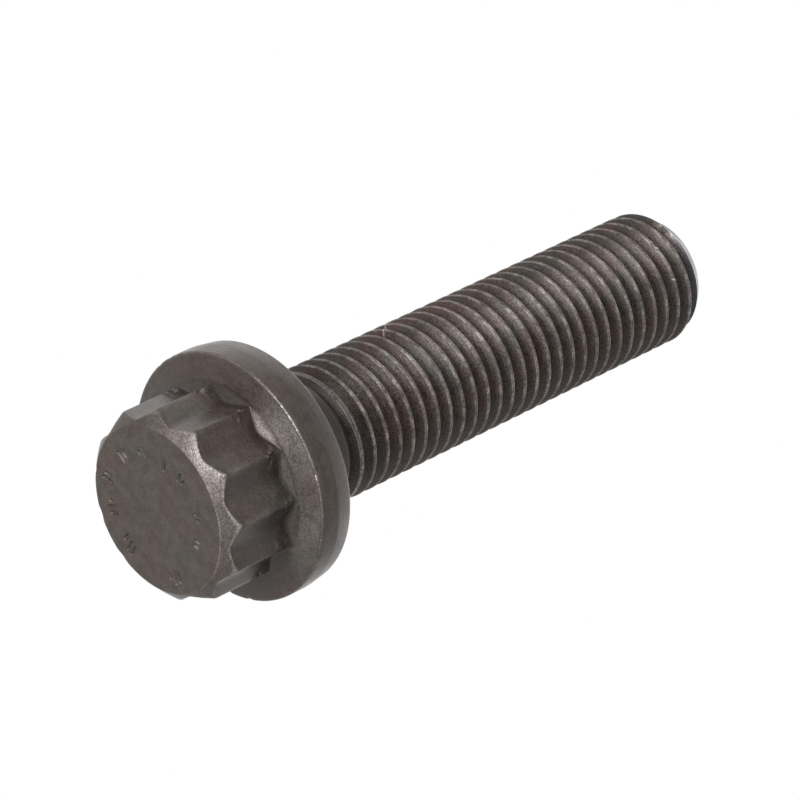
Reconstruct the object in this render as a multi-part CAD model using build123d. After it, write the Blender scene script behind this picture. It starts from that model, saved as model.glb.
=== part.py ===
# Connecting rod bolt: a flanged twelve-point bolt, M10 x 1.25, nominally 40 mm long.
# Sizes are in millimetres. The bolt stands on its head: the end face of the head lies on z = 0,
# its axis is Z, and the thread points up. The screw thread itself is too fine for this source,
# so the threaded length is a plain cylinder over the crests.
from build123d import *
import os
from math import cos, radians, tan

# Twelve-point head: two hexagons of the wrench size, a twelfth of a turn apart
across_flats = 12.0
head_height = 9.2
ridge_rounding = 0.2
valley_rounding = 1.2

# Crown: the flat end face and the cone that takes the corners off the points
crown_diameter = 11.9
crown_angle = 37.0

# Flange: a low cone towards the head, a straight rim, and a slight taper down to the seat
flange_diameter = 17.8
rim_height = 2.9
rim_straight = 1.5
seat_diameter = 17.4
cone_angle = 12.0
front_edge_rounding = 0.15
seat_edge_rounding = 0.25

# Ramp that closes each groove of the head just above the flange
ramp_angle = 30.0
ramp_overlap = 0.6

# Shank under the seat: fillet, plain neck, run-out cone, threaded length and point
length_under_head = 40.7
neck_diameter = 9.1
neck_length = 3.8
neck_fillet = 0.8
runout_angle = 30.0
thread_diameter = 9.8
point_diameter = 8.0
point_length = 1.3
point_rounding = 0.2


# Levels along the axis
seat_level = head_height
rim_level = head_height - rim_height
tip_level = head_height + length_under_head

# Radii of the ridges and grooves that the two hexagons give
ridge_radius = across_flats / 2 / cos(radians(30))
groove_radius = across_flats / 2 / cos(radians(15))


def slope(angle, run):
    # Rise of a line at this angle over a horizontal run
    return tan(radians(angle)) * run


def corner(face, radius, level):
    # The corner of a half section nearest to this place
    return face.vertices().sort_by_distance((radius, 0, level))[0]


def half_section(points):
    # Closed half section in the XZ plane, from (radius, level) pairs
    places = [(radius, 0, level) for radius, level in points]
    return make_face(Polyline(*places, close=True))


def twelve_point_outline():
    # Both hexagons as one outline, with rolled-over ridges and open rounded grooves
    hexagon = RegularPolygon(across_flats / 2, 6, major_radius=False)
    outline = hexagon + Rot(0, 0, 30) * hexagon
    middle_radius = (ridge_radius + groove_radius) / 2
    ridges = outline.vertices().filter_by(lambda v: v.center().length > middle_radius)
    outline = fillet(ridges, ridge_rounding)
    grooves = outline.vertices().filter_by(lambda v: v.center().length < middle_radius)
    return fillet(grooves, valley_rounding)


def crown_envelope():
    # Everything above the end face and inside the crown's cone
    crown_radius = crown_diameter / 2
    outer_radius = flange_diameter
    cone_level = slope(crown_angle, outer_radius - crown_radius)
    points = [
        (0, 0),
        (crown_radius, 0),
        (outer_radius, cone_level),
        (outer_radius, cone_level + head_height),
        (0, cone_level + head_height),
    ]
    return revolve(half_section(points), Axis.Z)


def twelve_point_head():
    # The points run down into the flange, and the crown cone cuts their front corners
    prism = extrude(twelve_point_outline(), rim_level + rim_height / 2)
    return prism & crown_envelope()


def flange():
    # Ramp, cone, rim and seat in one turned section
    flange_radius = flange_diameter / 2
    core_radius = groove_radius - ramp_overlap
    foot_level = rim_level - slope(cone_angle, flange_radius - ridge_radius)
    core_level = foot_level - slope(ramp_angle, ridge_radius - core_radius)
    points = [
        (0, core_level),
        (core_radius, core_level),
        (ridge_radius, foot_level),
        (flange_radius, rim_level),
        (flange_radius, rim_level + rim_straight),
        (seat_diameter / 2, seat_level),
        (0, seat_level),
    ]
    section = half_section(points)
    section = fillet(corner(section, flange_radius, rim_level), front_edge_rounding)
    section = fillet(corner(section, seat_diameter / 2, seat_level), seat_edge_rounding)
    return revolve(section, Axis.Z)


def shank():
    # The neck grows out of the seat in a fillet, and the point is a steep cone
    neck_radius = neck_diameter / 2
    thread_radius = thread_diameter / 2
    point_radius = point_diameter / 2
    neck_end = seat_level + neck_length
    thread_start = neck_end + (thread_radius - neck_radius) / slope(runout_angle, 1)
    points = [
        (0, seat_level - rim_height / 2),
        (neck_radius + 2 * neck_fillet, seat_level - rim_height / 2),
        (neck_radius + 2 * neck_fillet, seat_level),
        (neck_radius, seat_level),
        (neck_radius, neck_end),
        (thread_radius, thread_start),
        (thread_radius, tip_level - point_length),
        (point_radius, tip_level),
        (0, tip_level),
    ]
    section = half_section(points)
    section = fillet(corner(section, neck_radius, seat_level), neck_fillet)
    section = fillet(corner(section, point_radius, tip_level), point_rounding)
    return revolve(section, Axis.Z)


bolt = twelve_point_head() + flange() + shank()

os.makedirs("parts", exist_ok=True)
export_step(bolt, "parts/bolt.step")
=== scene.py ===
import math

import bmesh
import bpy
from bpy.props import FloatProperty, FloatVectorProperty, IntProperty, PointerProperty
from mathutils import Euler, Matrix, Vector, noise


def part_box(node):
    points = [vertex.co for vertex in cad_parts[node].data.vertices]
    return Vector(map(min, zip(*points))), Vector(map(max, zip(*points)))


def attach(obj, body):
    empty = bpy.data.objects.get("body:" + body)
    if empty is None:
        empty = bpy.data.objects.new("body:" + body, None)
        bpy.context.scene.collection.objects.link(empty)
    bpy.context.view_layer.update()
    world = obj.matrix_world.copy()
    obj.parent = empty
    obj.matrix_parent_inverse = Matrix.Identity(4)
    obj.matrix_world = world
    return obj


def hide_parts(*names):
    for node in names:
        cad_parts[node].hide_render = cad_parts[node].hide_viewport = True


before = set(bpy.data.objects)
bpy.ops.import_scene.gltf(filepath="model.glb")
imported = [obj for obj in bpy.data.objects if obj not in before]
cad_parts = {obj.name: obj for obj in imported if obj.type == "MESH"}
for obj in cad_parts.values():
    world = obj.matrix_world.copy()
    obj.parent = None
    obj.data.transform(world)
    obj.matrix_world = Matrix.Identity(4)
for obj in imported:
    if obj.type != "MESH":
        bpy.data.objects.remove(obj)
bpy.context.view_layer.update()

bl_info = {
    "name": "Connecting rod bolt",
    "version": (1, 0, 0),
    "blender": (4, 5, 0),
    "location": "3D View > Sidebar > Rod bolt",
    "description": "Models a flanged twelve-point bolt with a rolled fine thread, and its studio",
    "category": "Object",
}

MM = 0.001
POINTS = 12
# Vertices closer than this are one
WELD = 2e-7

# Plain strokes stamped into the end face: degrees round from +X, mm out from the axis, and the
# lengths in mm of the strokes that stand side by side there
MARKS = ((16, 3.4, (0.9,)), (43, 3.6, (0.9, 0.5)), (87, 3.7, (0.8, 0.5)), (118, 3.7, (0.6, 0.6)),
         (172, 4.8, (0.9, 1.2, 0.6)), (223, 4.9, (1.1, 1.1)), (233, 4.7, (0.9,)),
         (260, 4.8, (0.9, 1.1, 0.5)), (285, 5.0, (1.2, 0.9)), (317, 4.4, (1.1, 0.8)),
         (344, 4.0, (0.5, 0.9)))
# Steps down into a stroke: share of its width, share of its depth, wear
MARK_STEPS = ((0.72, 0.45, 0.08), (0.3, 1.0, 0.0))
# Light scratches over the crests: degrees round and mm up of both ends, and how bare they are
SCRATCHES = (((-22, 24.0), (-7.3, 22.65), 0.45), ((-7.3, 22.65), (3.4, 21.5), 0.45),
             ((41.5, 46.45), (43, 46.6), 0.4), ((72.5, 46.5), (73.5, 46.7), 0.4))

# Rings of the end face: mm inside its border
FACE_RINGS = (0.3, 0.08)
# Rings of the crown's cone: share of the way out, mm of lift, wear along the ring, which is also a
# painted highlight on the lit side
CROWN_RINGS = ((0.0, 0.008, 0.22), (0.12, 0.0, 0.0), (0.4, 0.0, 0.0), (0.7, 0.0, 0.0))
# Rings of the worn edge over the flanks: shares of its rounding inward and down, wear along the ring,
# which is also a painted highlight on the lit side
CROWN_EDGE_RINGS = ((1.0, 0.0, 0.0), (0.45, 0.22, 0.32), (0.12, 0.6, 0.32), (0.0, 1.2, 0.0))
# Rings of the flanks: share of the way down, closest together where the burrs are
FLANK_RINGS = (0.1, 0.35, 0.6, 0.7, 0.74, 0.78, 0.82, 0.86, 0.9, 0.94, 1.0)
# Rings round the foot of the flanks: mm outward, mm below the flange's front
FOOT_RINGS = ((0.012, 0.04), (0.045, 0.008), (0.11, 0.0))
# Rings of the ramps: share of the way out to the ridges, and the wear with painted highlight where the
# light falls on them
RAMP_RINGS = ((0.12, 0.14), (0.5, 0.14), (0.85, 0.11), (1.0, 0.04))
# Rings of the flange, in mm: radii on its front, heights of the rim's rings over its front edge,
# and radii on the seat
FRONT_RADII = (7.2, 7.5, 7.8, 8.1, 8.4, 8.62)
RIM_RISES = (0.5, 1.0)
SEAT_RADII = (7.6, 6.4)
# Wear along each ring of the flange's rounded edges, the front edge's also a painted highlight on its lit
# side, and painted shade behind the rim and on the neck
FRONT_EDGE_WEAR_AND_SHEEN = (0.05, 0.26, 0.42, 0.24, 0.05)
SEAT_EDGE_WEAR = (0.03, 0.08, 0.12, 0.08, 0.04, 0.0)
SEAT_PAINTED_SHADE = 0.35
NECK_PAINTED_SHADE = 0.6
# Rings of the point: wear along its corner's rounding, and radii in mm on its end face
POINT_EDGE_WEAR = (0.0, 0.2, 0.2, 0.2, 0.0)
POINT_RADII = (3.4, 2.0)

LAMP_DISTANCE = 0.40
# Lamps: name, direction from the bolt, metres across, level on white paper at the bolt
LAMPS = (("front_lamp", (0.34, 0.14, -0.93), 0.18, 0.58),
         ("middle_lamp", (0.66, 0.1, -0.75), 0.2, 0.3),
         ("side_lamp", (0.64, 0.64, -0.42), 0.2, 0.38),
         ("upper_lamp", (0.6, -0.45, 0.65), 0.4, 0.15),
         ("top_lamp", (-0.15, 0.05, 0.98), 0.55, 0.5))

CAD_LOW, CAD_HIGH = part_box("bolt")


class HeadSizes(bpy.types.PropertyGroup):
    """Sizes of the twelve-point head and its flange, as in the part's source"""
    across_flats: FloatProperty(
        name="Across flats", description="Wrench size of both hexagons",
        default=12.0 * MM, unit="LENGTH")
    height: FloatProperty(
        name="Head height", description="From the end face to the seat under the flange",
        default=9.2 * MM, unit="LENGTH")
    ridge_rounding: FloatProperty(
        name="Ridge rounding", description="Radius along the twelve ridges",
        default=0.2 * MM, unit="LENGTH")
    groove_rounding: FloatProperty(
        name="Groove rounding", description="Radius at the bottom of the twelve grooves",
        default=1.2 * MM, unit="LENGTH")
    crown_diameter: FloatProperty(
        name="End face", description="Diameter of the flat end face",
        default=11.9 * MM, unit="LENGTH")
    crown_shift: FloatVectorProperty(
        name="End face shift", description="How far off the axis the end face was forged",
        default=(-0.11 * MM, -0.26 * MM), size=2, subtype="TRANSLATION", unit="LENGTH")
    crown_angle: FloatProperty(
        name="Crown angle", description="Slope of the crown cone from the end face",
        default=math.radians(37), subtype="ANGLE")
    edge_rounding: FloatProperty(
        name="Crown edge rounding", description="Worn edge between the crown and the flanks",
        default=0.1 * MM, unit="LENGTH")
    flange_diameter: FloatProperty(
        name="Flange", description="Outer diameter of the flange",
        default=CAD_HIGH.x - CAD_LOW.x, unit="LENGTH")
    rim_height: FloatProperty(
        name="Rim height", description="From the flange's front edge to the seat",
        default=2.9 * MM, unit="LENGTH")
    rim_straight: FloatProperty(
        name="Straight rim", description="Straight part of the rim, next to the front edge",
        default=1.5 * MM, unit="LENGTH")
    seat_diameter: FloatProperty(
        name="Seat", description="Diameter of the seat's outer corner",
        default=17.4 * MM, unit="LENGTH")
    cone_angle: FloatProperty(
        name="Flange slope", description="Slope of the flange's front face",
        default=math.radians(12), subtype="ANGLE")
    ramp_angle: FloatProperty(
        name="Ramp slope", description="Slope of the ramp that closes each groove",
        default=math.radians(30), subtype="ANGLE")
    front_edge_rounding: FloatProperty(
        name="Front edge rounding", description="Radius on the flange's front edge",
        default=0.15 * MM, unit="LENGTH")
    seat_edge_rounding: FloatProperty(
        name="Seat edge rounding", description="Radius on the flange's seat edge",
        default=0.25 * MM, unit="LENGTH")
    mark_depth: FloatProperty(
        name="Mark depth", description="Depth of the plain strokes stamped into the end face",
        default=0.14 * MM, unit="LENGTH")
    mark_width: FloatProperty(
        name="Mark width", description="Width of the plain strokes stamped into the end face",
        default=0.34 * MM, unit="LENGTH")


class ShankSizes(bpy.types.PropertyGroup):
    """Sizes of the neck, the thread and the point, as in the part's source"""
    neck_diameter: FloatProperty(
        name="Neck", description="Diameter of the plain neck under the seat",
        default=9.1 * MM, unit="LENGTH")
    neck_fillet: FloatProperty(
        name="Neck fillet", description="Radius between the seat and the neck",
        default=0.8 * MM, unit="LENGTH")
    neck_length: FloatProperty(
        name="Neck length", description="From the seat to the first trace of the thread",
        default=3.8 * MM, unit="LENGTH")
    run_in: FloatProperty(
        name="Run-in", description="Length over which the thread comes up to full depth",
        default=1.9 * MM, unit="LENGTH")
    thread_diameter: FloatProperty(
        name="Thread", description="Diameter over the thread's crests",
        default=9.8 * MM, unit="LENGTH")
    pitch: FloatProperty(
        name="Pitch", description="Distance from crest to crest",
        default=1.25 * MM, unit="LENGTH")
    thread_start: FloatProperty(
        name="Thread start", description="Height of the crests above a whole pitch, on +X",
        default=0.12 * MM, unit="LENGTH")
    crest_width: FloatProperty(
        name="Crest width", description="Width of the thread's crest",
        default=0.22 * MM, unit="LENGTH")
    root_radius: FloatProperty(
        name="Root radius", description="Radius at the bottom of the thread",
        default=0.18 * MM, unit="LENGTH")
    point_diameter: FloatProperty(
        name="Point", description="Diameter of the point's corner",
        default=8.0 * MM, unit="LENGTH")
    point_length: FloatProperty(
        name="Point length", description="Length of the cone at the point",
        default=1.3 * MM, unit="LENGTH")
    point_rounding: FloatProperty(
        name="Point rounding", description="Radius on the point's corner",
        default=0.2 * MM, unit="LENGTH")
    tip: FloatProperty(
        name="Tip", description="Height of the tip above the end face",
        default=CAD_HIGH.z, unit="LENGTH")
    steps: IntProperty(
        name="Steps round", description="Faces round the bolt, as many as the head's outline has",
        default=168, min=168)


class Finish(bpy.types.PropertyGroup):
    """Colours of the phosphated steel"""
    coat: FloatVectorProperty(
        name="Coat", description="Dark brown-grey phosphate coat",
        default=(0.059, 0.0435, 0.038), subtype="COLOR", size=3)
    coat_green: FloatVectorProperty(
        name="Coat, greener", description="The coat's greener patches",
        default=(0.051, 0.045, 0.038), subtype="COLOR", size=3)
    thread_coat: FloatVectorProperty(
        name="Coat on the thread", description="The coat's redder brown in the thread",
        default=(0.078, 0.040, 0.032), subtype="COLOR", size=3)
    bare: FloatVectorProperty(
        name="Bare steel", description="Steel where the coat has worn off",
        default=(0.56, 0.53, 0.50), subtype="COLOR", size=3)
    point: FloatVectorProperty(
        name="Point", description="Blue-grey machined steel of the point",
        default=(0.040, 0.043, 0.058), subtype="COLOR", size=3)


class Studio(bpy.types.PropertyGroup):
    """Camera and light"""
    camera_place: FloatVectorProperty(
        name="Camera", description="Where the camera stands",
        default=(0.122674, 0.224163, -0.191380), subtype="TRANSLATION", size=3)
    camera_turn: FloatVectorProperty(
        name="Camera turn", description="How the camera is turned",
        default=(math.radians(152.7542), math.radians(-43.747), math.radians(97.9151)),
        subtype="EULER", size=3)
    lens: FloatProperty(name="Lens", description="Focal length in millimetres", default=217.46)
    ambient: FloatProperty(
        name="Ambient", description="Strength of the white surroundings' light", default=0.14)


def slope(angle, run):
    """Rise of a line at this angle over a level run."""
    return math.tan(angle) * run


def ease(low, high, value):
    """0 below low, 1 above high, and a smooth rise between."""
    share = max(0.0, min(1.0, (value - low) / (high - low)))
    return share * share * (3 - 2 * share)


def hump(middle, reach, turn):
    """1 at the middle, fading to 0 at this reach to either side; both in degrees, the turn in radians."""
    away = abs((math.degrees(turn) - middle + 180) % 360 - 180)
    return 1 - ease(0, reach, away)


def speckle(place, size):
    """Smooth noise between -1 and 1, with grains of this size."""
    return noise.noise(Vector(place) / size)


def ring_places(turns, radii, levels):
    """One point for each turn, at its radius and level."""
    return [Vector((r * math.cos(t), r * math.sin(t), z)) for t, r, z in zip(turns, radii, levels)]


def round_places(turns, radius, level):
    """One point for each turn, all at one radius and level."""
    return ring_places(turns, [radius] * len(turns), [level] * len(turns))


def arc(corner, before, after, radius, count):
    """Points of the rounding of this radius at a corner of a (radius, level) section."""
    corner, before, after = Vector(corner), Vector(before), Vector(after)
    back, on = (before - corner).normalized(), (after - corner).normalized()
    half = back.angle(on) / 2
    reach = radius / math.tan(half)
    centre = corner + (back + on).normalized() * (radius / math.sin(half))
    start, end = corner + back * reach - centre, corner + on * reach - centre
    return [tuple(centre + start.slerp(end, i / count) * radius) for i in range(count + 1)]


def ring_edges(bm, ring):
    """Edges of a closed ring of vertices."""
    return [bm.edges.get((a, b)) for a, b in zip(ring, ring[1:] + ring[:1])]


def extrude_ring(bm, ring):
    """Extrudes a closed ring of vertices and gives the new ring, in the same order."""
    made = bmesh.ops.extrude_edge_only(bm, edges=ring_edges(bm, ring))["geom"]
    new = {g for g in made if isinstance(g, bmesh.types.BMVert)}
    return [next(e.other_vert(v) for e in v.link_edges if e.other_vert(v) in new) for v in ring]


def next_ring(bm, ring, places, wear_and_sheen=0.0, painted_shade=0.0):
    """Extrudes a closed ring, moves the new ring to its places and notes its wear and painted sheen, and
    its painted shade.
    """
    worn, shade_layer = bm.verts.layers.float["wear_and_sheen"], bm.verts.layers.float["painted_shade"]
    grown = extrude_ring(bm, ring)
    for i, (vert, place) in enumerate(zip(grown, places)):
        vert.co = place
        vert[worn] = wear_and_sheen[i] if isinstance(wear_and_sheen, list) else wear_and_sheen
        vert[shade_layer] = painted_shade[i] if isinstance(painted_shade, list) else painted_shade
    return grown


def ridge_radius(head):
    """Radius of the head's ridges before they are rolled over."""
    return head.across_flats / 2 / math.cos(math.radians(30))


def front_level(head, radius):
    """Level of the flange's front: the ramps inside the ridges, the cone outside them."""
    rim = head.height - head.rim_height
    ridge = ridge_radius(head)
    foot = rim - slope(head.cone_angle, head.flange_diameter / 2 - ridge)
    if radius < ridge:
        return foot - slope(head.ramp_angle, ridge - radius)
    return foot + slope(head.cone_angle, radius - ridge)


def seam_level(head, shank):
    """Level on the neck where the head's rings meet the turns of the thread."""
    below_thread = 0.4 * MM
    return head.height + shank.neck_length - below_thread


def point_seam(shank):
    """Level where the turns of the thread end, just under the rounding of the point."""
    return shank.tip - shank.point_rounding


def star_outline(bm, head):
    """Outline of the twelve points, drawn from a 24-sided circle with rounded corners."""
    step = 180 / POINTS
    ridge = ridge_radius(head)
    groove = head.across_flats / 2 / math.cos(math.radians(step))
    bmesh.ops.create_circle(bm, segments=2 * POINTS, radius=ridge, cap_ends=True)
    corners = list(bm.verts)
    inner = [v for v in corners if round(math.degrees(math.atan2(v.co.y, v.co.x)) / step) % 2]
    outer = [v for v in corners if v not in inner]
    for v in inner:
        v.co *= groove / ridge
    # Half of the outline's turn at a corner gives the reach of its rounding
    for group, half_turn, radius, segments in ((outer, 30, head.ridge_rounding, 2),
                                               (inner, 15, head.groove_rounding, 4)):
        bmesh.ops.bevel(bm, geom=group, offset=slope(math.radians(half_turn), radius),
                        offset_type="OFFSET", segments=segments, profile=0.5,
                        affect="VERTICES", material=-1)
    flanks = sorted(bm.edges, key=lambda e: -e.calc_length())[:2 * POINTS]
    bmesh.ops.subdivide_edges(bm, edges=flanks, cuts=3)
    hair = 1e-5
    ring = sorted(bm.verts, key=lambda v: (math.atan2(v.co.y, v.co.x) + hair) % math.tau)
    bmesh.ops.delete(bm, geom=list(bm.faces), context="FACES_ONLY")
    return ring


class HeadOutline:
    """Sizes at each vertex of the head's outline, in the order of its ring."""

    def __init__(self, head, ring):
        self.ridge = ridge_radius(head)
        self.crown_height = slope(head.crown_angle, self.ridge - head.crown_diameter / 2)
        self.even = [i * math.tau / len(ring) for i in range(len(ring))]
        turns = [math.atan2(v.co.y, v.co.x) for v in ring]
        self.turns = [e + (t - e + math.pi) % math.tau - math.pi for t, e in zip(turns, self.even)]
        self.reach = [v.co.length for v in ring]
        self.border = self.end_face_border(head)
        ridges = [ease(0.93, 1.0, far / self.ridge) for far in self.reach]
        self.rounding = [head.edge_rounding * (1 + 1.6 * share) for share in ridges]

    def end_face_border(self, head):
        """Radii of the end face's border, a circle a little off the axis."""
        least_crown = 0.14 * MM
        shift = Vector(head.crown_shift)
        border = []
        for turn, far in zip(self.turns, self.reach):
            along = shift.dot((math.cos(turn), math.sin(turn)))
            across = shift.length_squared - along * along
            circle = along + math.sqrt((head.crown_diameter / 2) ** 2 - across)
            border.append(min(circle, far - least_crown))
        return border

    def crown_levels(self, radii):
        """Levels of the crown's cone at these radii, one for each vertex."""
        return [self.crown_height * (r - b) / (self.ridge - b) for r, b in zip(radii, self.border)]


def crown_wear_and_sheen(turn):
    """The crown is worn bright, and carries a painted highlight on the side where the light falls."""
    return 0.13 * hump(52, 52, turn) + 0.08 * hump(95, 60, turn) + 0.10 * hump(22, 42, turn)


def grow_crown(bm, ring, outline):
    """The end face's border, the crown's cone and the worn edge over the flanks, with wear and a painted
    highlight on the lit side.
    """
    turns, reach, border, rounding = outline.turns, outline.reach, outline.border, outline.rounding
    first, second = (ring_places(turns, [b - inset * MM for b in border], [0.0] * len(border))
                     for inset in FACE_RINGS)
    for v, place in zip(ring, first):
        v.co = place
    ring = next_ring(bm, ring, second)
    bright = [crown_wear_and_sheen(t) for t in turns]
    for share, lift, line in CROWN_RINGS:
        radii = [b + (far - s - b) * share for b, far, s in zip(border, reach, rounding)]
        levels = [z + lift * MM for z in outline.crown_levels(radii)]
        wear_and_sheen = [w + line * hump(85, 95, t) for w, t in zip(bright, turns)]
        ring = next_ring(bm, ring, ring_places(turns, radii, levels), wear_and_sheen)
    for inset, drop, line in CROWN_EDGE_RINGS:
        radii = [far - s * inset for far, s in zip(reach, rounding)]
        levels = [z + s * drop for z, s in zip(outline.crown_levels(radii), rounding)]
        wear_and_sheen = [w * min(1.0, 1.6 * inset) + line * hump(80, 120, t) for w, t in zip(bright, turns)]
        ring = next_ring(bm, ring, ring_places(turns, radii, levels), wear_and_sheen)
    return ring


def grow_flanks(bm, ring, head, outline):
    """Down the flanks, to small burrs where the ridges meet the flange, with painted shade towards the
    foot and a painted highlight on the lit side.
    """
    sunk_foot = 0.1 * MM
    burr_grain = 0.16 * MM
    tops = [v.co.z for v in ring]
    feet = [front_level(head, far) - sunk_foot for far in outline.reach]
    for share in FLANK_RINGS:
        levels = [top + (foot - top) * share for top, foot in zip(tops, feet)]
        radii, wear_and_sheen = [], []
        for turn, far, level in zip(outline.turns, outline.reach, levels):
            ridge = far / outline.ridge
            burr = ease(0.93, 0.985, ridge) * ease(0.70, 0.80, share) * (1 - ease(0.9, 1.0, share))
            grain = speckle((far * math.cos(turn), far * math.sin(turn), level), burr_grain)
            radii.append(far + burr * (0.26 * grain - 0.07) * MM)
            # Painted highlight along the lit ridges and on the flanks facing the light, besides the
            # burrs' wear
            line = 0.25 * ease(0.985, 1.0, ridge) * (1 - ease(0.0, 0.8, share)) * hump(75, 90, turn)
            bare = 0.02 * hump(90, 65, turn) + 0.04 * hump(0, 18, turn)
            wear_and_sheen.append(bare + line + 0.3 * burr * ease(0.2, 0.5, grain))
        # Painted shade deepens towards the foot of the flanks
        places = ring_places(outline.turns, radii, levels)
        ring = next_ring(bm, ring, places, wear_and_sheen, ease(0.75, 1.0, share))
    return ring


def grow_ramps(bm, ring, head, outline):
    """Out over the ramps between the ridges: painted shade round the foot and on the ramps away from the
    light, painted light on the lit ones and a painted highlight with some wear on one.
    """
    turns, reach = outline.turns, outline.reach
    # Full painted shade on the rings round the foot
    for out, down in FOOT_RINGS:
        radii = [far + out * MM for far in reach]
        levels = [front_level(head, r) - down * MM for r in radii]
        ring = next_ring(bm, ring, ring_places(turns, radii, levels), 0.0, 1.0)
    foot = FOOT_RINGS[-1][0] * MM
    # The ramp at 45° gets a painted highlight, those facing the light round 95° painted light, the others
    # painted shade
    lens = [min(1.0, 2.5 * hump(45, 15, t)) for t in turns]
    lit_ramp = [min(1.0, max(w, 1.6 * hump(95, 55, t) * (1 - w))) for w, t in zip(lens, turns)]
    for share, bright_share in RAMP_RINGS:
        radii = [far + foot + (max(outline.ridge, far) - far) * share for far in reach]
        levels = [front_level(head, r) for r in radii]
        wear_and_sheen = [bright_share * (0.8 * w + 0.2 * c) for w, c in zip(lens, lit_ramp)]
        painted_shade = [0.8 - 0.8 * c for c in lit_ramp]
        ring = next_ring(bm, ring, ring_places(turns, radii, levels), wear_and_sheen, painted_shade)
    return ring


def grow_flange(bm, ring, head, outline):
    """The flange's front, edges, rim and seat, while the vertices spread evenly round the bolt."""
    even = outline.even
    rim = head.height - head.rim_height
    flange = head.flange_diameter / 2
    seat_corner = (head.seat_diameter / 2, head.height)
    straight_end = (flange, rim + head.rim_straight)
    soft_turn = 1.5 * MM
    front = [(r * MM, front_level(head, r * MM)) for r in FRONT_RADII]
    front_edge = arc((flange, rim), front[-1], straight_end, head.front_edge_rounding, 4)
    rim_end = arc(straight_end, (flange, rim), seat_corner, soft_turn, 3)
    seat_edge = arc(seat_corner, straight_end, (0, head.height), head.seat_edge_rounding, 5)

    # The front, given a painted highlight on the lit side and painted shade on the other; its vertices
    # are even by the fifth ring
    for i, (radius, level) in enumerate(front):
        share = min(1.0, (i + 1) / 5)
        spread = [t + (e - t) * share for t, e in zip(outline.turns, even)]
        wear_and_sheen = [0.2 * hump(56, 30, t) + 0.09 * hump(100, 50, t) for t in spread]
        painted_shade = [0.45 * (1 - hump(85, 75, t)) for t in spread]
        ring = next_ring(bm, ring, round_places(spread, radius, level), wear_and_sheen, painted_shade)

    # The front edge, with fine dents and one nick, worn all round and brightest on the lit side, where a
    # painted highlight is added
    for (radius, level), edge_wear_and_sheen in zip(front_edge, FRONT_EDGE_WEAR_AND_SHEEN):
        radii, levels, wear_and_sheen = [], [], []
        for turn in even:
            grain = speckle((math.cos(turn), math.sin(turn), 3.0), 0.045)
            nick = hump(76.9, 2.5, turn)
            dent = (0.05 * ease(0.2, 0.5, grain) + 0.12 * nick) * MM
            radii.append(radius - dent)
            levels.append(level + dent)
            bright = 0.3 + 0.7 * hump(54, 60, turn) * ease(-0.6, 0.3, grain)
            wear_and_sheen.append(edge_wear_and_sheen * bright + 0.06 * nick)
        ring = next_ring(bm, ring, ring_places(even, radii, levels), wear_and_sheen)

    # The rim's straight part and its taper, the seat's edge and the seat, with painted shade from the
    # taper onward
    rings = [(flange, rim + rise * MM, 0.0, 0.0) for rise in RIM_RISES]
    rings += [(r, z, 0.0, SEAT_PAINTED_SHADE if z > straight_end[1] else 0.0) for r, z in rim_end]
    rings += [(r, z, wear_and_sheen, SEAT_PAINTED_SHADE) for (r, z), wear_and_sheen in zip(seat_edge, SEAT_EDGE_WEAR)]
    rings += [(r * MM, head.height, 0.0, SEAT_PAINTED_SHADE) for r in SEAT_RADII]
    for radius, level, wear_and_sheen, painted_shade in rings:
        ring = next_ring(bm, ring, round_places(even, radius, level), wear_and_sheen, painted_shade)
    return ring


def grow_neck(bm, ring, head, shank, outline):
    """The fillet under the seat and the plain neck, up to the seam with the thread, darkened with painted
    shade under the flange.
    """
    neck = shank.neck_diameter / 2
    seat_corner = (head.seat_diameter / 2, head.height)
    fillet = arc((neck, head.height), seat_corner, (neck, shank.tip), shank.neck_fillet, 6)
    start, end = head.height + shank.neck_fillet, seam_level(head, shank)
    rings = [(*fillet[0], SEAT_PAINTED_SHADE)]
    rings += [(r, z, NECK_PAINTED_SHADE) for r, z in fillet[1:]]
    rings += [(neck, start + (end - start) * share, NECK_PAINTED_SHADE) for share in (0.3, 0.65, 1.0)]
    for radius, level, painted_shade in rings:
        ring = next_ring(bm, ring, round_places(outline.even, radius, level), 0.0, painted_shade)


def stroke_outlines(bm, head):
    """Outline of each stamped stroke: its vertices, and the end of the stroke that each goes round."""
    wide = head.mark_width / 2
    spacing = 2.6 * wide
    outlines = []
    for turn, out, lengths in MARKS:
        aim = Vector((math.cos(math.radians(turn)), math.sin(math.radians(turn)), 0))
        across = Vector((-aim.y, aim.x, 0))
        for i, length in enumerate(lengths):
            tilt = 0.12 * speckle((turn, i, 0), 0.7)
            heading = (aim + across * tilt).normalized() * (length * MM / 2 - wide)
            middle = aim * out * MM + across * (i - (len(lengths) - 1) / 2) * spacing
            verts = bmesh.ops.create_circle(bm, segments=12, radius=wide)["verts"]
            ends = [middle + heading * (1 if v.co.dot(heading) >= 0 else -1) for v in verts]
            for v, end in zip(verts, ends):
                v.co = v.co * (1 + 0.3 * speckle(v.co + end, 0.15 * MM)) + end
            outlines.append((verts, ends))
    return outlines


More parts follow.
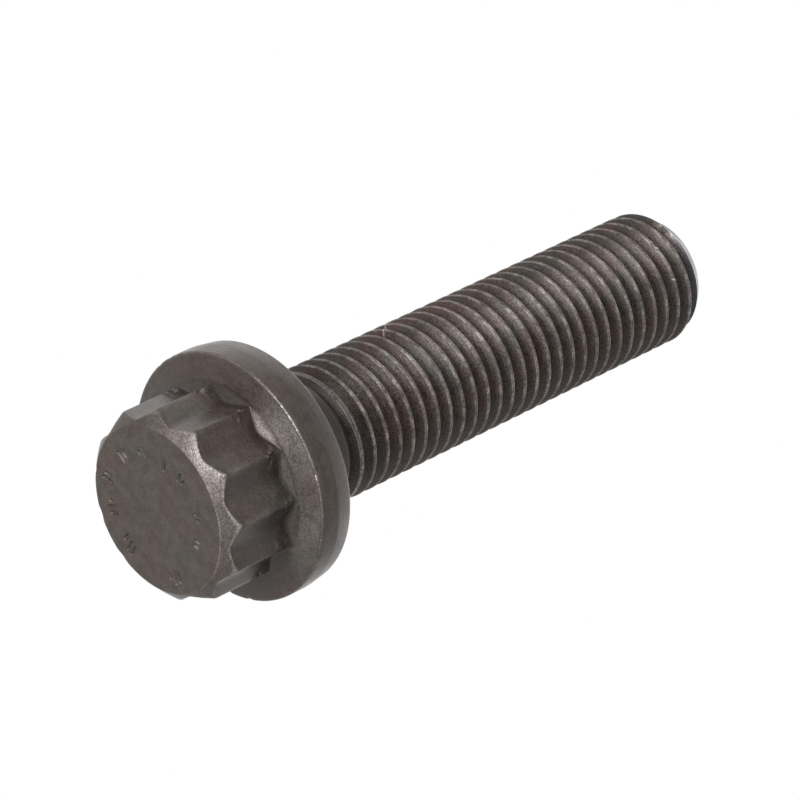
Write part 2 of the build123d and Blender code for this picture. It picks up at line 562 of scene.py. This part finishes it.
def stamp_marks(bm, head, border):
    """Closes the end face round a ring of plain strokes and dots stamped into it."""
    worn = bm.verts.layers.float["wear_and_sheen"]
    outlines = stroke_outlines(bm, head)
    edges = ring_edges(bm, border)
    for verts, _ in outlines:
        edges += ring_edges(bm, verts)
    bmesh.ops.triangle_fill(bm, edges=edges, use_beauty=True, normal=(0, 0, -1))
    for verts, ends in outlines:
        width = 1.0
        for share, depth, wear_and_sheen in MARK_STEPS:
            verts = extrude_ring(bm, verts)
            for v, end in zip(verts, ends):
                v.co.xy = end.xy + (v.co.xy - end.xy) * (share / width)
                v.co.z = head.mark_depth * depth * (1 + 0.5 * speckle(v.co, 0.4 * MM))
                v[worn] = wear_and_sheen
            width = share
        bmesh.ops.contextual_create(bm, geom=verts)


def grow_head(bm, head, shank):
    """Crown, twelve points, ramps, flange and neck, ring by ring from the end face."""
    # Layers for the wear with its painted highlights, and for the painted shade
    bm.verts.layers.float.new("wear_and_sheen")
    bm.verts.layers.float.new("painted_shade")
    border = star_outline(bm, head)
    outline = HeadOutline(head, border)
    ring = grow_crown(bm, border, outline)
    ring = grow_flanks(bm, ring, head, outline)
    ring = grow_ramps(bm, ring, head, outline)
    ring = grow_flange(bm, ring, head, outline)
    grow_neck(bm, ring, head, shank, outline)
    stamp_marks(bm, head, border)


def thread_profile(shank):
    """One pitch of the rolled thread's section: (distance from the crest's middle, radius)."""
    crest = shank.thread_diameter / 2
    edge = shank.crest_width / 2
    dip, fall = 0.03 * MM, 0.012 * MM
    slant = math.radians(30)
    root = shank.root_radius
    side = shank.pitch / 2 - root * math.cos(slant)
    half = [(0.0, crest - dip), (edge * 0.5, crest), (edge * 0.95, crest - fall)]
    half += [(a, crest - (a - edge) / math.tan(slant)) for a in (edge * 1.2, edge * 1.7, side)]
    low = half[-1][1]
    for angle in (math.radians(50), math.radians(70), math.radians(90)):
        half.append((shank.pitch / 2 - root * math.cos(angle),
                     low - root * (math.sin(angle) - math.sin(slant))))
    return [(-a, r) for a, r in reversed(half[1:])] + half


def turn_thread(bm, shank, profile, first, last):
    """One turn of thread by a helical spin, repeated from the first whole pitch to the last."""
    verts = [bm.verts.new((r, 0, first * shank.pitch + shank.thread_start + a)) for a, r in profile]
    edges = [bm.edges.new(pair) for pair in zip(verts, verts[1:])]
    bmesh.ops.spin(bm, geom=verts + edges, cent=(0, 0, 0), axis=(0, 0, 1),
                   dvec=(0, 0, shank.pitch / shank.steps), angle=math.tau, steps=shank.steps,
                   use_merge=False, use_normal_flip=False, use_duplicate=False)
    turn = list(bm.verts) + list(bm.edges) + list(bm.faces)
    for i in range(1, last - first + 1):
        copy = bmesh.ops.duplicate(bm, geom=turn)["geom"]
        bmesh.ops.translate(bm, vec=(0, 0, i * shank.pitch),
                            verts=[g for g in copy if isinstance(g, bmesh.types.BMVert)])


def grow_thread(bm, head, shank):
    """The turns of the thread, cut to their run-in on the neck and to the point's cone."""
    worn, shade_layer = bm.verts.layers.float.new("wear_and_sheen"), bm.verts.layers.float.new("painted_shade")
    low, high = seam_level(head, shank), point_seam(shank)
    crest, neck = shank.thread_diameter / 2, shank.neck_diameter / 2
    profile = thread_profile(shank)
    root = profile[0][1]
    turn_thread(bm, shank, profile, math.floor(low / shank.pitch) - 1, math.ceil(high / shank.pitch) + 1)
    run_in_start = low + 0.25 * MM
    cone_start = shank.tip - shank.point_length
    steep = (crest - shank.point_diameter / 2) / shank.point_length
    lip_height = 0.02 * MM
    for v in bm.verts:
        z = min(max(v.co.z, low), high)
        angle = math.atan2(v.co.y, v.co.x)
        radius = math.hypot(v.co.x, v.co.y)

        # Crests and grooves come up out of the neck, with a raised lip along each crest's edge
        shape = (radius - root) / (crest - root)
        begun = ease(run_in_start, run_in_start + shank.run_in, z)
        roof = neck + (crest - neck) * begun
        ground = neck + (root - neck) * min(1.0, begun * 1.2)
        lip = ease(0.9, 0.98, shape) * (1 - ease(0.985, 1.0, shape)) * (1 - ease(0.8, 1.0, begun))
        lip *= ease(0.2, 0.5, begun)
        radius = max(ground, min(radius, roof)) + lip_height * lip

        # The point's cone cuts the last turns
        past = z - cone_start
        radius = min(radius, crest - steep * past)
        v.co = (radius * math.cos(angle), radius * math.sin(angle), z)

        # Chipped where the cone begins, on the lit side only, as wear and painted highlight; and a
        # painted sheen along the thread's lit side
        chip_and_glint = hump(36, 24, angle) * ease(0.0, 0.3, speckle(v.co, 0.5 * MM))
        chip_and_glint *= ease(-0.1 * MM, 0.05 * MM, past) * (1 - ease(0.1 * MM, 0.3 * MM, past))
        thread_sheen = 0.085 * hump(39, 34, angle) + 0.032 * hump(85, 45, angle)
        v[worn] = 0.3 * lip + thread_sheen * begun + 0.7 * chip_and_glint
        # Painted shade on the run-in next to the neck
        v[shade_layer] = 0.6 * (1 - ease(0.6, 1.0, begun))
    bmesh.ops.remove_doubles(bm, verts=list(bm.verts), dist=WELD / 2)
    bmesh.ops.dissolve_degenerate(bm, edges=list(bm.edges), dist=WELD / 2)


def close_point(bm, shank):
    """Rounds the point's corner and closes its end."""
    high = point_seam(shank)
    top = [v for v in bm.verts if abs(v.co.z - high) < WELD and v.is_boundary]
    hair = 1e-6
    ring = sorted(top, key=lambda v: (math.atan2(v.co.y, v.co.x) + hair) % math.tau)
    turns = [math.atan2(v.co.y, v.co.x) for v in ring]
    crest, point = shank.thread_diameter / 2, shank.point_diameter / 2
    corner = arc((point, shank.tip), (crest, shank.tip - shank.point_length), (0, shank.tip),
                 shank.point_rounding, 4)
    section = [(r, z, wear_and_sheen) for (r, z), wear_and_sheen in zip(corner, POINT_EDGE_WEAR)]
    section += [(r * MM, shank.tip, 0.0) for r in POINT_RADII]
    for radius, level, wear_and_sheen in section:
        ring = next_ring(bm, ring, round_places(turns, radius, level), wear_and_sheen)
    bmesh.ops.contextual_create(bm, geom=ring)


class BOLT_OT_model(bpy.types.Operator):
    """Model the bolt from its head to its point"""
    bl_idname = "rod_bolt.model"
    bl_label = "Bolt"

    def execute(self, context):
        scene = context.scene
        head, shank = scene.rod_bolt_head, scene.rod_bolt_shank
        bm = bmesh.new()
        grow_thread(bm, head, shank)
        close_point(bm, shank)
        front = bmesh.new()
        grow_head(front, head, shank)
        front_mesh = bpy.data.meshes.new("bolt_front")
        front.to_mesh(front_mesh)
        front.free()
        bm.from_mesh(front_mesh)
        bpy.data.meshes.remove(front_mesh)
        bmesh.ops.remove_doubles(bm, verts=list(bm.verts), dist=WELD)
        bmesh.ops.recalc_face_normals(bm, faces=list(bm.faces))
        if any(not e.is_manifold for e in bm.edges):
            raise RuntimeError("The bolt's surface isn't closed")
        mesh = bpy.data.meshes.new("rod_bolt")
        bm.to_mesh(mesh)
        bm.free()
        mesh.shade_smooth()
        mesh.set_sharp_from_angle(angle=math.radians(38))
        bolt = bpy.data.objects.new("rod_bolt", mesh)
        scene.collection.objects.link(bolt)
        mesh.materials.append(phosphated_steel(scene.rod_bolt_finish, head, shank))
        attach(bolt, "root")
        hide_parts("bolt")
        return {"FINISHED"}


class Nodes:
    """Shorthand for building the nodes of a material or of the world."""

    def __init__(self, tree):
        self.tree = tree

    def add(self, kind, **settings):
        node = self.tree.nodes.new(kind)
        inputs = settings.pop("inputs", {})
        for key, value in settings.items():
            setattr(node, key, value)
        for key, value in inputs.items():
            self.feed(node.inputs[key], value)
        return node

    def feed(self, socket, value):
        if isinstance(value, bpy.types.NodeSocket):
            self.tree.links.new(value, socket)
        else:
            socket.default_value = value

    def math(self, operation, first, second=0.0, clamp=False):
        return self.add("ShaderNodeMath", operation=operation, use_clamp=clamp,
                        inputs={0: first, 1: second}).outputs[0]

    def ramp(self, value, low, high, start=0.0, end=1.0):
        return self.add("ShaderNodeMapRange", interpolation_type="SMOOTHSTEP",
                        inputs={"Value": value, "From Min": low, "From Max": high,
                                "To Min": start, "To Max": end}).outputs["Result"]

    def grain(self, place, size, detail=2.0, rough=0.5):
        return self.add("ShaderNodeTexNoise",
                        inputs={"Vector": place, "Scale": 1 / size, "Detail": detail,
                                "Roughness": rough}).outputs["Fac"]

    def vector(self, operation, first, second, out="Vector"):
        return self.add("ShaderNodeVectorMath", operation=operation,
                        inputs={0: first, 1: second}).outputs[out]

    def scratch(self, place, start, end, width):
        """1 along a straight scratch between two places, fading to 0 beside it."""
        run = Vector(end) - Vector(start)
        here = self.vector("SUBTRACT", place, start)
        along = self.vector("DOT_PRODUCT", here, run / run.length_squared, "Value")
        along = self.math("MAXIMUM", self.math("MINIMUM", along, 1.0), 0.0)
        nearest = self.add("ShaderNodeVectorMath", operation="SCALE", inputs={0: run, "Scale": along})
        away = self.vector("DISTANCE", here, nearest.outputs["Vector"], "Value")
        return self.ramp(away, width * 0.4, width, 1.0, 0.0)

    def mix(self, share, first, second):
        node = self.add("ShaderNodeMix", data_type="RGBA", blend_type="MIX")
        self.feed(node.inputs["Factor"], share)
        self.feed(node.inputs[6], first)
        self.feed(node.inputs[7], second)
        return node.outputs[2]


def scratched(make, place, radius, crest, wear_and_sheen):
    """Adds the scratches to the wear and painted sheen, drawn on a cylinder over the crests."""
    wrap = make.math("DIVIDE", crest, radius)
    stretch = make.add("ShaderNodeCombineXYZ", inputs={0: wrap, 1: wrap, 2: 1.0}).outputs[0]
    wrapped = make.vector("MULTIPLY", place, stretch)
    for (first, low), (second, high), bare in SCRATCHES:
        ends = [Vector((math.cos(math.radians(t)) * crest, math.sin(math.radians(t)) * crest, z * MM))
                for t, z in ((first, low), (second, high))]
        line = make.scratch(wrapped, *ends, 0.08 * MM)
        wear_and_sheen = make.math("ADD", wear_and_sheen, make.math("MULTIPLY", line, bare))
    return wear_and_sheen


def phosphated_steel(finish, head, shank):
    """Dark phosphated steel, mottled brown and green, worn on its edges and crests, with the painted
    highlights and painted shade that the vertices carry.
    """
    material = bpy.data.materials.new("phosphated_steel")
    material.use_nodes = True
    make = Nodes(material.node_tree)
    shader = material.node_tree.nodes["Principled BSDF"]
    place = make.add("ShaderNodeTexCoord").outputs["Object"]
    axes = make.add("ShaderNodeSeparateXYZ", inputs={0: place}).outputs
    flat = make.add("ShaderNodeCombineXYZ", inputs={0: axes["X"], 1: axes["Y"]}).outputs[0]
    radius = make.add("ShaderNodeVectorMath", operation="LENGTH", inputs={0: flat}).outputs["Value"]
    height = axes["Z"]

    # Where the thread is, where its crests are, and where the point is
    crest = shank.thread_diameter / 2
    flange = head.flange_diameter / 2
    begin = head.height + shank.neck_length
    cut = shank.tip - shank.point_length
    thread = make.ramp(height, begin, begin + 0.3 * MM)
    top = make.math("MULTIPLY", thread, make.ramp(radius, crest - 0.09 * MM, crest - 0.02 * MM))
    point = make.ramp(height, cut - 0.05 * MM, cut + 0.3 * MM)
    rim = make.ramp(radius, flange - 0.2 * MM, flange - 0.05 * MM)

    # Noises, from the coarsest to the finest, and streaks round the bolt
    clouds = make.grain(place, 3.0 * MM, 3.0, 0.55)
    mottle = make.grain(place, 0.8 * MM, 3.0, 0.6)
    fine = make.grain(place, 0.13 * MM, 3.0, 0.6)
    streaks = make.grain(make.vector("MULTIPLY", place, (1, 1, 14)), 1.6 * MM, 3.0, 0.6)

    # The coat's colour, redder in the thread, and how light it is, darkened by the vertices' painted
    # shade
    coat = make.mix(make.ramp(clouds, 0.44, 0.62), (*finish.coat, 1), (*finish.coat_green, 1))
    rusty = make.math("MULTIPLY", thread, make.ramp(clouds, 0.44, 0.62, 0.65, 0.0))
    coat = make.mix(rusty, coat, (*finish.thread_coat, 1))
    sandy = make.math("MULTIPLY", make.ramp(fine, 0.3, 0.7, -0.3, 0.3),
                      make.ramp(thread, 0.0, 1.0, 1.0, 2.4))
    light = make.math("ADD", make.ramp(mottle, 0.3, 0.7, 0.84, 1.16), sandy)
    light = make.math("MULTIPLY", light, make.ramp(streaks, 0.3, 0.7, 0.86, 1.14))
    # Painted shade from the vertices darkens the coat by up to half
    painted_shade = make.add("ShaderNodeAttribute", attribute_name="painted_shade").outputs["Fac"]
    light = make.math("MULTIPLY", light, make.ramp(painted_shade, 0.0, 1.0, 1.0, 0.5))
    light = make.math("MULTIPLY", light, make.ramp(thread, 0.0, 1.0, 1.0, 0.62))
    shade = make.add("ShaderNodeVectorMath", operation="SCALE",
                     inputs={0: coat, "Scale": light}).outputs[0]
    shade = make.mix(point, shade, (*finish.point, 1))

    # Wear and painted highlight from the vertices, scratches, the thread's crests, and specks
    wear_and_sheen = make.add("ShaderNodeAttribute", attribute_name="wear_and_sheen").outputs["Fac"]
    wear_and_sheen = scratched(make, place, radius, crest, wear_and_sheen)
    crests = make.math("MULTIPLY", top, make.ramp(mottle, 0.3, 0.7, 0.08, 0.28))
    worn = make.math("ADD", wear_and_sheen, crests)
    worn = make.math("MULTIPLY", worn, make.ramp(fine, 0.3, 0.7, 0.4, 1.6))
    specks = make.math("MULTIPLY", make.ramp(fine, 0.68, 0.76), make.ramp(mottle, 0.5, 0.7, 0.0, 0.3))
    worn = make.math("ADD", worn, specks)
    metal_share = make.math("MULTIPLY", worn, make.ramp(mottle, 0.3, 0.65, 0.75, 1.15), clamp=True)
    make.feed(shader.inputs["Base Color"], make.mix(metal_share, shade, (*finish.bare, 1)))
    make.feed(shader.inputs["Metallic"], metal_share)
    shader.inputs["Specular IOR Level"].default_value = 0.35
    shader.inputs["Specular Tint"].default_value = (1.0, 0.88, 0.84, 1)

    # Satin, streaky on the rim, with a sandy surface that is coarser in the thread
    rough = make.math("ADD", make.ramp(mottle, 0.3, 0.7, 0.25, 0.33),
                      make.ramp(thread, 0.0, 1.0, 0.0, 0.02))
    rough = make.math("ADD", rough, make.math("MULTIPLY", rim, make.ramp(streaks, 0.3, 0.7, -0.1, 0.08)))
    make.feed(shader.inputs["Roughness"], rough)
    sand = make.math("MULTIPLY", fine, make.ramp(thread, 0.0, 1.0, 1.2, 3.0))
    bump = make.add("ShaderNodeBump", inputs={"Strength": 0.6, "Distance": 0.02 * MM,
                                              "Height": make.math("ADD", sand, mottle)})
    make.feed(shader.inputs["Normal"], bump.outputs[0])
    return material


def lamp(scene, name, direction, size, level):
    """A soft round lamp that gives white paper at the bolt this level, 1 being full white."""
    light = bpy.data.lights.new(name, "AREA")
    light.shape = "DISK"
    light.size = size
    light.energy = level * (math.pi * LAMP_DISTANCE) ** 2
    holder = bpy.data.objects.new(name, light)
    scene.collection.objects.link(holder)
    aim = Vector(direction).normalized()
    holder.location = Vector((0, 0, CAD_HIGH.z / 2)) + aim * LAMP_DISTANCE
    holder.rotation_mode = "QUATERNION"
    holder.rotation_quaternion = aim.to_track_quat("Z", "Y")
    holder.visible_camera = False


def pale_floor():
    """Pale floor that is seen from above only."""
    material = bpy.data.materials.new("pale_floor")
    material.use_nodes = True
    make = Nodes(material.node_tree)
    paint = material.node_tree.nodes["Principled BSDF"]
    paint.inputs["Base Color"].default_value = (0.86, 0.86, 0.86, 1)
    paint.inputs["Roughness"].default_value = 0.9
    below = make.add("ShaderNodeNewGeometry").outputs["Backfacing"]
    clear = make.add("ShaderNodeBsdfTransparent")
    choice = make.add("ShaderNodeMixShader",
                      inputs={0: below, 1: paint.outputs[0], 2: clear.outputs[0]})
    make.feed(material.node_tree.nodes["Material Output"].inputs["Surface"], choice.outputs[0])
    return material


class BOLT_OT_studio(bpy.types.Operator):
    """Set the floor, the lamps and the camera"""
    bl_idname = "rod_bolt.studio"
    bl_label = "Studio"

    def execute(self, context):
        scene, studio = context.scene, context.scene.rod_bolt_studio
        scene.view_settings.view_transform = "Standard"
        floor_reach, floor_gap = 1.5, 0.1 * MM
        bm = bmesh.new()
        bmesh.ops.create_grid(bm, x_segments=1, y_segments=1, size=floor_reach)
        bmesh.ops.translate(bm, vec=(0, 0, -floor_gap), verts=list(bm.verts))
        mesh = bpy.data.meshes.new("floor")
        bm.to_mesh(mesh)
        bm.free()
        floor = bpy.data.objects.new("floor", mesh)
        scene.collection.objects.link(floor)
        mesh.materials.append(pale_floor())
        for ray in ("diffuse", "glossy", "transmission", "shadow"):
            setattr(floor, "visible_" + ray, False)

        world = bpy.data.worlds.new("studio")
        world.use_nodes = True
        scene.world = world
        make = Nodes(world.node_tree)
        rays = make.add("ShaderNodeLightPath").outputs
        seen = make.math("MAXIMUM", rays["Is Camera Ray"], rays["Is Glossy Ray"])
        seen = make.math("MAXIMUM", seen, rays["Is Transmission Ray"])
        back = world.node_tree.nodes["Background"]
        back.inputs["Color"].default_value = (1, 1, 1, 1)
        strength = make.add("ShaderNodeMapRange", inputs={"Value": seen, "To Min": studio.ambient})
        make.feed(back.inputs["Strength"], strength.outputs["Result"])
        for name, direction, size, level in LAMPS:
            lamp(scene, name, direction, size, level)

        camera = bpy.data.cameras.new("camera")
        camera.lens = studio.lens
        camera.sensor_width = 36
        camera.clip_start = 0.01
        holder = bpy.data.objects.new("camera", camera)
        scene.collection.objects.link(holder)
        holder.location = studio.camera_place
        holder.rotation_euler = Euler(studio.camera_turn)
        scene.camera = holder
        return {"FINISHED"}


class BOLT_PT_panel(bpy.types.Panel):
    """Sizes, finish and studio of the bolt"""
    bl_idname = "BOLT_PT_panel"
    bl_label = "Connecting rod bolt"
    bl_space_type = "VIEW_3D"
    bl_region_type = "UI"
    bl_category = "Rod bolt"

    def draw(self, context):
        for name in GROUPS:
            group = getattr(context.scene, name)
            box = self.layout.box()
            for key in group.__annotations__:
                box.prop(group, key)
        self.layout.operator(BOLT_OT_model.bl_idname)
        self.layout.operator(BOLT_OT_studio.bl_idname)


GROUPS = {"rod_bolt_head": HeadSizes, "rod_bolt_shank": ShankSizes,
          "rod_bolt_finish": Finish, "rod_bolt_studio": Studio}
CLASSES = (*GROUPS.values(), BOLT_OT_model, BOLT_OT_studio, BOLT_PT_panel)


def register():
    for cls in CLASSES:
        bpy.utils.register_class(cls)
    for name, group in GROUPS.items():
        setattr(bpy.types.Scene, name, PointerProperty(type=group))


def unregister():
    for name in GROUPS:
        delattr(bpy.types.Scene, name)
    for cls in reversed(CLASSES):
        bpy.utils.unregister_class(cls)


def main():
    register()
    bpy.ops.rod_bolt.model()
    bpy.ops.rod_bolt.studio()


if __name__ == "__main__":
    main()
